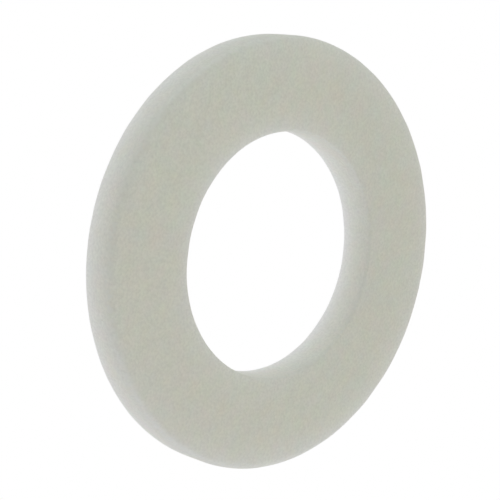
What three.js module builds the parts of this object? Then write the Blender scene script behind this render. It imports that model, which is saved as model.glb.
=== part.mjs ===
// Flat washer for an M24 bolt, moulded in one piece from natural nylon.
//
// It is a plain ring: two flat parallel bearing faces, a straight bore that the bolt passes through,
// and a straight rim. Every edge is lightly rounded, more at the rim than at the bore, and the two
// faces are alike, so it can be fitted either way up.
//
// Millimetres, +Z up. The washer lies on its lower face, and the origin is the centre of the bore at
// that face, so +Z is the way the bolt runs.

import * as THREE from "three";

// Driving dimensions: the M24 size of the normal series of plain washers.
const BORE_DIAMETER = 25;
const OUTSIDE_DIAMETER = 44;
const THICKNESS = 4;

// The moulded roundings where the faces meet the rim and the bore.
const RIM_EDGE_RADIUS = 0.8;
const BORE_EDGE_RADIUS = 0.3;

// Fineness of the facets: flats around the ring, and half the number of steps in each rounding.
const FLATS_AROUND = 96;
const HALF_STEPS_PER_ROUNDING = 3;

// Directions in the section, as angles from the outward radius.
const OUTWARD = 0;
const UP = Math.PI / 2;
const INWARD = Math.PI;
const DOWN = 1.5 * Math.PI;
const FULL_TURN = 2 * Math.PI;

// Half of a cut through the washer: x is the distance from the bolt's axis, and y is the height.
// The outline runs anticlockwise from the bore's lower edge, and each arc is joined to the next by a
// straight side: the lower face, the rim, the upper face and the bore.
function sectionOutline() {
  const boreX = BORE_DIAMETER / 2 + BORE_EDGE_RADIUS;
  const rimX = OUTSIDE_DIAMETER / 2 - RIM_EDGE_RADIUS;
  const section = new THREE.Path();
  section.absarc(boreX, BORE_EDGE_RADIUS, BORE_EDGE_RADIUS, INWARD, DOWN);
  section.absarc(rimX, RIM_EDGE_RADIUS, RIM_EDGE_RADIUS, DOWN, FULL_TURN);
  section.absarc(rimX, THICKNESS - RIM_EDGE_RADIUS, RIM_EDGE_RADIUS, OUTWARD, UP);
  section.absarc(boreX, THICKNESS - BORE_EDGE_RADIUS, BORE_EDGE_RADIUS, UP, INWARD);
  section.closePath();
  return section.getPoints(HALF_STEPS_PER_ROUNDING);
}

// The nylon: off-white with a trace of yellow, and matt.
function naturalNylon() {
  return new THREE.MeshStandardMaterial({ color: 0xbbbbad, roughness: 0.5, metalness: 0 });
}

// The ring itself. A lathe turns its section about Y, so the ring is tipped up to stand along Z.
function washerRing() {
  const ring = new THREE.Mesh(
    new THREE.LatheGeometry(sectionOutline(), FLATS_AROUND),
    naturalNylon(),
  );
  ring.name = "washer";
  ring.rotation.x = Math.PI / 2;
  return ring;
}

const flatWasher = new THREE.Group();
flatWasher.name = "flat_washer";
flatWasher.add(washerRing());

export default flatWasher;
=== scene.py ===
"""A flat washer of natural nylon, lying on a lit white sheet.

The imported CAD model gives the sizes. The washer is made again here as a fine mesh with the small
irregularities of a moulded part, and it gets a translucent, finely grained nylon material.
Everything is in metres, in the CAD model's frame: +Z is the washer's axis, and z = 0 is its lower face.
"""

import math
import random

import bmesh
import bpy
from mathutils import Matrix, Vector, noise


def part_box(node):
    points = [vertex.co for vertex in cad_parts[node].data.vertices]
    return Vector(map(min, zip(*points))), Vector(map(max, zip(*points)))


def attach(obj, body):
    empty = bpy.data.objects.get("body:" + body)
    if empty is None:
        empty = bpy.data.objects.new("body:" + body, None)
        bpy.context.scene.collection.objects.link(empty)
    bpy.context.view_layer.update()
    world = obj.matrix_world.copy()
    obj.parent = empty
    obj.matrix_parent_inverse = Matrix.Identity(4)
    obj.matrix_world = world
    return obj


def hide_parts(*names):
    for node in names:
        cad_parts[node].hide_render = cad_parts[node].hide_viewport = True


MM = 0.001

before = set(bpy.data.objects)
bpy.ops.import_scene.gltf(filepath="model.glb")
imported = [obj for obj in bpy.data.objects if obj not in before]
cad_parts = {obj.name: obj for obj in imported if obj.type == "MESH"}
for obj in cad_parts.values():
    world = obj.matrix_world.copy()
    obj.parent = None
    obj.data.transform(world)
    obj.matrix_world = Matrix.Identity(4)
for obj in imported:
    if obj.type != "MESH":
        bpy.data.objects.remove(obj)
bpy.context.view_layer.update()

# Points of the CAD mesh this near its top belong to the upper face.
FACE_TOLERANCE = 0.001 * MM

# Mesh fineness: steps round the washer, in each edge rounding, across each face and up each wall.
STEPS_AROUND = 480
STEPS_PER_ROUNDING = 9
STEPS_PER_FACE = 36
STEPS_PER_WALL = 14

# How far the moulded surface departs from the true shape, always inward: a shallow sink across each
# face, slow waves all over, uneven edges, and small dents from handling.
SINK_DEPTH = 0.03 * MM
WAVE_DEPTH = 0.02 * MM
WAVE_LENGTH = 9 * MM
EDGE_WEAR_DEPTH = 0.04 * MM
EDGE_WEAR_LENGTH = 2.2 * MM
DENT_COUNT = 40
DENT_RADII = (0.3 * MM, 0.7 * MM)
DENT_DEPTHS = (0.006 * MM, 0.02 * MM)
DENT_SEED = 7

# The camera: how far its line of sight is from the washer's axis, how far it is turned about that line,
# its distance from the washer's centre, how far from that centre it aims, its lens in millimetres, and
# the nearest and farthest that it sees.
VIEW_FROM_AXIS = math.radians(44.16)
VIEW_ROLL = math.radians(102.1)
VIEW_DISTANCE = 155.3 * MM
VIEW_AIM = Vector((0.11, -2.87, 0)) * MM
VIEW_LENS = 110.3
VIEW_NEAREST = 1 * MM
VIEW_FARTHEST = 10

# The lit white sheet that the washer lies on: half its width, and how far it is below the washer.
SHEET_HALF_WIDTH = 3
SHEET_GAP = 0.02 * MM

# The light on the washer, as shares of a full white: the glow of the lit sheet, that of the sky, which is
# brightest towards one azimuth and dimmest towards the opposite one, and what each softbox adds, by its
# azimuth. The softboxes stand upright on the sheet. The camera sees the sheet and the sky overexposed.
SHEET_LIGHT = (0.845, 0.85, 0.89)
SKY_AZIMUTH = math.radians(57)
BRIGHTEST_SKY_LIGHT = (0.68, 0.67, 0.61)
DIMMEST_SKY_LIGHT = (0.115, 0.11, 0.08)
OVEREXPOSED = (1, 1, 1)
SOFTBOX_WIDTH = 450 * MM
SOFTBOX_HEIGHT = 300 * MM
SOFTBOX_DISTANCE = 400 * MM
SOFTBOX_LIGHTS = {0: (0.155, 0.175, 0.25), 200: (0.225, 0.27, 0.285)}

# The nylon: its warmer and cooler tints, how far red, green and blue light spread inside it, and its gloss.
NYLON_WARM = (0.765, 0.755, 0.665)
NYLON_COOL = (0.745, 0.755, 0.665)
NYLON_SPREAD = (1.0, 1.0, 0.9)
NYLON_DEPTH = 15 * MM
NYLON_TRANSLUCENCY = 0.7
NYLON_IOR = 1.53
NYLON_ROUGHNESS = 0.38

# Its texture: the size of each kind of patch, and how strong it is. A range says between which values of
# the random pattern that kind goes from nothing to full strength.
CLOUD_SIZE = 7 * MM
CLOUD_RANGE = (0.4, 0.6)
MOTTLE_SIZE = 1.8 * MM
MOTTLE_SHARE = 0.05
GRAIN_SIZE = 0.27 * MM
GRAIN_SHARE = 0.15
SPECK_SPACING = 3.2 * MM
SPECK_RADIUS = 0.09 * MM
SPECK_RANGE = (0.6, 1)
SPECK_COLOUR = (0.55, 0.50, 0.40)
SCUFF_SIZE = 0.5 * MM
SCUFF_RANGE = (0.48, 0.62)
SCUFF_COLOUR = (0.765, 0.765, 0.685)
SCUFF_ROUGHNESS = 0.12
ROUGHNESS_SIZE = 2.4 * MM
ROUGHNESS_SPREAD = 0.16
PEEL_SIZE = 0.8 * MM
PEEL_HEIGHT = 0.004 * MM
GRAIN_HEIGHT = 0.004 * MM
SCRATCH_LENGTH = 7 * MM
SCRATCH_WIDTH = 0.09 * MM
SCRATCH_RANGE = (0.72, 0.8)
SCRATCH_DEPTH = 0.003 * MM
SCRATCH_TURNS = (math.radians(25), math.radians(-52))

WASHER = "washer"


def read_section(node):
    """The washer's section, read from the CAD mesh: bore and rim radius, and their edges' roundings."""
    points = [vertex.co for vertex in node.data.vertices]
    radii = [math.hypot(point.x, point.y) for point in points]
    top = max(point.z for point in points)
    on_face = [r for r, point in zip(radii, points) if top - point.z < FACE_TOLERANCE]
    bore, rim = min(radii), max(radii)
    return bore, rim, min(on_face) - bore, rim - max(on_face)


def arc(centre, radius, start_turn):
    """A quarter circle of the section, anticlockwise, without its last point, with outward directions."""
    turns = [start_turn + 0.25 * step / STEPS_PER_ROUNDING for step in range(STEPS_PER_ROUNDING)]
    angles = [turn * math.tau for turn in turns]
    directions = [Vector((math.cos(angle), math.sin(angle))) for angle in angles]
    return [(centre + outward * radius, outward) for outward in directions]


def straight(start, end, steps):
    """A straight side of the section, without its last point, with outward directions."""
    along = (end - start).normalized()
    outward = Vector((along.y, -along.x))
    return [(start.lerp(end, step / steps), outward) for step in range(steps)]


def section_outline(bore, rim, bore_edge, rim_edge, thickness):
    """The section's closed outline, anticlockwise from the bore's lower edge, with outward directions."""
    inner = bore + bore_edge
    outer = rim - rim_edge
    outline = arc(Vector((inner, bore_edge)), bore_edge, 0.5)
    outline += straight(Vector((inner, 0)), Vector((outer, 0)), STEPS_PER_FACE)
    outline += arc(Vector((outer, rim_edge)), rim_edge, 0.75)
    outline += straight(Vector((rim, rim_edge)), Vector((rim, thickness - rim_edge)), STEPS_PER_WALL)
    outline += arc(Vector((outer, thickness - rim_edge)), rim_edge, 0)
    outline += straight(Vector((outer, thickness)), Vector((inner, thickness)), STEPS_PER_FACE)
    outline += arc(Vector((inner, thickness - bore_edge)), bore_edge, 0.25)
    outline += straight(Vector((bore, thickness - bore_edge)), Vector((bore, bore_edge)), STEPS_PER_WALL)
    return outline


def around(turn, point):
    """A point or direction of the section, at a turn about Z."""
    return Vector((math.cos(turn) * point.x, math.sin(turn) * point.x, point.y))


def make_dents(outline):
    """Places for the dents, anywhere on the surface: centres, radii and depths."""
    chance = random.Random(DENT_SEED)
    dents = []
    for _ in range(DENT_COUNT):
        centre = around(chance.uniform(0, math.tau), chance.choice(outline)[0])
        dents.append((centre, chance.uniform(*DENT_RADII), chance.uniform(*DENT_DEPTHS)))
    return dents


def unevenness(place, depth, length):
    """Smooth random depths, from 0 to the given depth, that change over about the given length."""
    return depth * min(max(0.5 + noise.noise(place / length), 0), 1)


def sunk(place, outward, across, dents):
    """How far the moulded surface lies inside the true shape at a place."""
    depth = unevenness(place, WAVE_DEPTH, WAVE_LENGTH)
    depth += SINK_DEPTH * outward.y**2 * math.sin(math.pi * across) ** 2
    depth += abs(2 * outward.x * outward.y) * unevenness(place, EDGE_WEAR_DEPTH, EDGE_WEAR_LENGTH)
    for centre, radius, dent_depth in dents:
        nearness = 1 - (place - centre).length_squared / radius**2
        if nearness > 0:
            depth += dent_depth * nearness**2
    return depth


def make_washer(name, outline):
    """Turns the section about Z into one closed mesh, with its moulded unevenness."""
    bore = min(point.x for point, _ in outline)
    rim = max(point.x for point, _ in outline)
    dents = make_dents(outline)
    mesh = bmesh.new()
    rings = []
    for step in range(STEPS_AROUND):
        turn = step / STEPS_AROUND * math.tau
        ring = []
        for point, outward in outline:
            place = around(turn, point)
            across = (point.x - bore) / (rim - bore)
            ring.append(mesh.verts.new(place - around(turn, outward) * sunk(place, outward, across, dents)))
        rings.append(ring)
    for step, ring in enumerate(rings):
        following = rings[(step + 1) % STEPS_AROUND]
        for i in range(len(outline)):
            j = (i + 1) % len(outline)
            mesh.faces.new((ring[i], following[i], following[j], ring[j])).smooth = True
    bmesh.ops.recalc_face_normals(mesh, faces=mesh.faces)
    data = bpy.data.meshes.new(name)
    mesh.to_mesh(data)
    mesh.free()
    washer = bpy.data.objects.new(name, data)
    bpy.context.scene.collection.objects.link(washer)
    return washer


def add_node(tree, kind, inputs, **settings):
    """Adds a shader node with these settings. Each input is linked to a socket or set to a value."""
    node = tree.nodes.new(kind)
    for name, value in settings.items():
        setattr(node, name, value)
    for key, value in inputs.items():
        if isinstance(value, bpy.types.NodeSocket):
            tree.links.new(value, node.inputs[key])
        else:
            node.inputs[key].default_value = value
    return node


def patches(tree, place, size, detail=2, output="Fac"):
    """Smooth random patches of about this size: a value or a colour that is mostly near 0.5."""
    inputs = {"Vector": place, "Scale": 1 / size, "Detail": detail}
    return add_node(tree, "ShaderNodeTexNoise", inputs).outputs[output]


def remap(tree, value, low, high, to_low=0, to_high=1):
    """A value's range from low to high, stretched to another range and clamped to it."""
    inputs = {"Value": value, "From Min": low, "From Max": high, "To Min": to_low, "To Max": to_high}
    return add_node(tree, "ShaderNodeMapRange", inputs).outputs["Result"]


def calculate(tree, operation, *values):
    """Arithmetic on values."""
    return add_node(tree, "ShaderNodeMath", dict(enumerate(values)), operation=operation).outputs["Value"]


def combine(tree, operation, *vectors):
    """Arithmetic on vectors or colours."""
    node = add_node(tree, "ShaderNodeVectorMath", dict(enumerate(vectors)), operation=operation)
    return node.outputs["Vector"]


def mix_colours(tree, share, first, second):
    """The first colour where the share is 0, and the second where it is 1. Sockets 6 and 7 are colours."""
    node = tree.nodes.new("ShaderNodeMix")
    node.data_type = "RGBA"
    tree.links.new(share, node.inputs[0])
    for socket, colour in zip(node.inputs[6:8], (first, second)):
        if isinstance(colour, bpy.types.NodeSocket):
            tree.links.new(colour, socket)
        else:
            socket.default_value = (*colour, 1)
    return node.outputs[2]


def edge_share(tree):
    """1 in the middle of each edge's rounding, and 0 on the faces and walls."""
    direction = tree.nodes.new("ShaderNodeTexCoord").outputs["Normal"]
    height = add_node(tree, "ShaderNodeSeparateXYZ", {"Vector": direction}).outputs["Z"]
    squared = calculate(tree, "MULTIPLY", height, height)
    flatness = calculate(tree, "SUBTRACT", 1, squared)
    return calculate(tree, "MULTIPLY", calculate(tree, "MULTIPLY", squared, flatness), 4)


def scuffs(tree, place):
    """Where the edges are scuffed."""
    worn = remap(tree, patches(tree, place, SCUFF_SIZE, 4), *SCUFF_RANGE)
    return calculate(tree, "MULTIPLY", worn, edge_share(tree))


def specks(tree, place):
    """Where the few dark specks are: some of the points that lie about a spacing apart."""
    points = add_node(tree, "ShaderNodeTexVoronoi", {"Vector": place, "Scale": 1 / SPECK_SPACING})
    reach = SPECK_RADIUS / SPECK_SPACING
    near = remap(tree, points.outputs["Distance"], reach, reach / 2)
    chance = add_node(tree, "ShaderNodeSeparateXYZ", {"Vector": points.outputs["Color"]}).outputs["X"]
    return calculate(tree, "MULTIPLY", near, remap(tree, chance, *SPECK_RANGE))


def nylon_colour(tree, place, scuffed):
    """Off-white with warm and cool clouds, a mottle, a fine grain, a few specks and paler scuffs."""
    clouds = remap(tree, patches(tree, place, CLOUD_SIZE, 3), *CLOUD_RANGE)
    tint = mix_colours(tree, clouds, NYLON_COOL, NYLON_WARM)
    hues = patches(tree, place, MOTTLE_SIZE, output="Color")
    mottle = combine(tree, "MULTIPLY_ADD", hues, [2 * MOTTLE_SHARE] * 3, [1 - MOTTLE_SHARE] * 3)
    grain = remap(tree, patches(tree, place, GRAIN_SIZE), 0, 1, 1 - GRAIN_SHARE, 1 + GRAIN_SHARE)
    grained = combine(tree, "MULTIPLY", combine(tree, "MULTIPLY", tint, mottle), grain)
    specked = mix_colours(tree, specks(tree, place), grained, SPECK_COLOUR)
    return mix_colours(tree, scuffed, specked, SCUFF_COLOUR)


def nylon_roughness(tree, place, scuffed):
    """Matt, with smoother and rougher patches and rougher scuffs."""
    low = NYLON_ROUGHNESS - ROUGHNESS_SPREAD
    high = NYLON_ROUGHNESS + ROUGHNESS_SPREAD
    roughness = remap(tree, patches(tree, place, ROUGHNESS_SIZE, 4), 0, 1, low, high)
    return calculate(tree, "ADD", roughness, calculate(tree, "MULTIPLY", scuffed, SCUFF_ROUGHNESS))


def scratches(tree, place, turn):
    """Fine, nearly straight scratches in one direction across the faces: 0, and 1 along each scratch."""
    turned = add_node(tree, "ShaderNodeMapping", {"Vector": place, "Rotation": (0, 0, turn)})
    stretch = (SCRATCH_WIDTH / SCRATCH_LENGTH, 1, SCRATCH_WIDTH / SCRATCH_LENGTH)
    streaks = combine(tree, "MULTIPLY", turned.outputs["Vector"], stretch)
    return remap(tree, patches(tree, streaks, SCRATCH_WIDTH, 0), *SCRATCH_RANGE)


def bump(tree, height, distance, under=None, invert=False):
    """A raised or, inverted, a sunk pattern of this height, on top of another bump if one is given."""
    inputs = {"Height": height, "Distance": distance}
    if under:
        inputs["Normal"] = under
    return add_node(tree, "ShaderNodeBump", inputs, invert=invert).outputs["Normal"]


def nylon_bump(tree, place):
    """The moulded skin: a slight orange peel, a fine grain and a few scratches."""
    normal = bump(tree, patches(tree, place, PEEL_SIZE), PEEL_HEIGHT)
    normal = bump(tree, patches(tree, place, GRAIN_SIZE), GRAIN_HEIGHT, normal)
    for turn in SCRATCH_TURNS:
        normal = bump(tree, scratches(tree, place, turn), SCRATCH_DEPTH, normal, invert=True)
    return normal


def nylon_material():
    """Natural nylon: translucent, matt and finely grained."""
    material = bpy.data.materials.new("natural_nylon")
    material.use_nodes = True
    tree = material.node_tree
    shader = tree.nodes["Principled BSDF"]
    place = tree.nodes.new("ShaderNodeTexCoord").outputs["Object"]
    scuffed = scuffs(tree, place)
    tree.links.new(nylon_colour(tree, place, scuffed), shader.inputs["Base Color"])
    tree.links.new(nylon_roughness(tree, place, scuffed), shader.inputs["Roughness"])
    tree.links.new(nylon_bump(tree, place), shader.inputs["Normal"])
    shader.inputs["IOR"].default_value = NYLON_IOR
    shader.inputs["Subsurface Weight"].default_value = NYLON_TRANSLUCENCY
    shader.inputs["Subsurface Radius"].default_value = NYLON_SPREAD
    shader.inputs["Subsurface Scale"].default_value = NYLON_DEPTH
    return material


def camera_colour(tree, light, look):
    """The light that the sheet or the sky gives the washer, and the colour that the camera sees it as."""
    seen = tree.nodes.new("ShaderNodeLightPath").outputs["Is Camera Ray"]
    return mix_colours(tree, seen, light, look)


def make_floor():
    """A lit white sheet under the washer."""
    mesh = bmesh.new()
    bmesh.ops.create_grid(mesh, x_segments=1, y_segments=1, size=SHEET_HALF_WIDTH)
    data = bpy.data.meshes.new("floor")
    mesh.to_mesh(data)
    mesh.free()
    floor = bpy.data.objects.new("floor", data)
    floor.location.z = -SHEET_GAP
    floor.visible_glossy = False
    bpy.context.scene.collection.objects.link(floor)
    material = bpy.data.materials.new("lit_sheet")
    material.use_nodes = True
    tree = material.node_tree
    tree.nodes.clear()
    sheet = add_node(tree, "ShaderNodeEmission", {"Color": camera_colour(tree, SHEET_LIGHT, OVEREXPOSED)})
    add_node(tree, "ShaderNodeOutputMaterial", {"Surface": sheet.outputs["Emission"]})
    material.cycles.emission_sampling = "NONE"
    data.materials.append(material)


def make_world():
    """Plain soft light from all round, brighter from one side."""
    world = bpy.data.worlds.new("soft_light")
    bpy.context.scene.world = world
    world.use_nodes = True
    tree = world.node_tree
    background = tree.nodes["Background"]
    direction = tree.nodes.new("ShaderNodeTexCoord").outputs["Generated"]
    turned = add_node(tree, "ShaderNodeMapping", {"Vector": direction, "Rotation": (0, 0, -SKY_AZIMUTH)})
    sideways = add_node(tree, "ShaderNodeSeparateXYZ", {"Vector": turned.outputs["Vector"]}).outputs["X"]
    glow = mix_colours(tree, remap(tree, sideways, -1, 1), DIMMEST_SKY_LIGHT, BRIGHTEST_SKY_LIGHT)
    tree.links.new(camera_colour(tree, glow, OVEREXPOSED), background.inputs["Color"])


def make_softbox(azimuth, shares):
    """An upright softbox, which gives a surface that faces it these shares of a full white."""
    light = bpy.data.lights.new("softbox", "AREA")
    light.shape = "RECTANGLE"
    light.size = SOFTBOX_WIDTH
    light.size_y = SOFTBOX_HEIGHT
    light.energy = (math.pi * SOFTBOX_DISTANCE) ** 2
    light.color = shares
    softbox = bpy.data.objects.new("softbox", light)
    softbox.visible_camera = False
    out = around(azimuth, Vector((1, 0)))
    middle = out * SOFTBOX_DISTANCE + Vector((0, 0, SOFTBOX_HEIGHT / 2))
    softbox.matrix_world = Matrix.Translation(middle) @ out.to_track_quat("Z", "Y").to_matrix().to_4x4()
    bpy.context.scene.collection.objects.link(softbox)


def make_camera(centre):
    """The camera, at the photograph's viewing angle."""
    back = Vector((0, -math.sin(VIEW_FROM_AXIS), math.cos(VIEW_FROM_AXIS)))
    eye = centre + back * VIEW_DISTANCE
    look = centre + VIEW_AIM - eye
    turn = look.to_track_quat("-Z", "Y").to_matrix().to_4x4() @ Matrix.Rotation(VIEW_ROLL, 4, "Z")
    lens = bpy.data.cameras.new("camera")
    lens.lens = VIEW_LENS
    lens.clip_start = VIEW_NEAREST
    lens.clip_end = VIEW_FARTHEST
    camera = bpy.data.objects.new("camera", lens)
    camera.matrix_world = Matrix.Translation(eye) @ turn
    bpy.context.scene.collection.objects.link(camera)
    bpy.context.scene.camera = camera


cad_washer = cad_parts[WASHER]
washer_low, washer_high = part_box(WASHER)
thickness = washer_high.z - washer_low.z
bore, rim, bore_edge, rim_edge = read_section(cad_washer)

washer = make_washer("nylon_washer", section_outline(bore, rim, bore_edge, rim_edge, thickness))
washer.data.materials.append(nylon_material())
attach(washer, "root")
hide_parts(WASHER)

centre = (washer_low + washer_high) / 2
make_floor()
make_world()
for azimuth, shares in SOFTBOX_LIGHTS.items():
    make_softbox(math.radians(azimuth), shares)
make_camera(centre)
bpy.context.scene.view_settings.view_transform = "Standard"
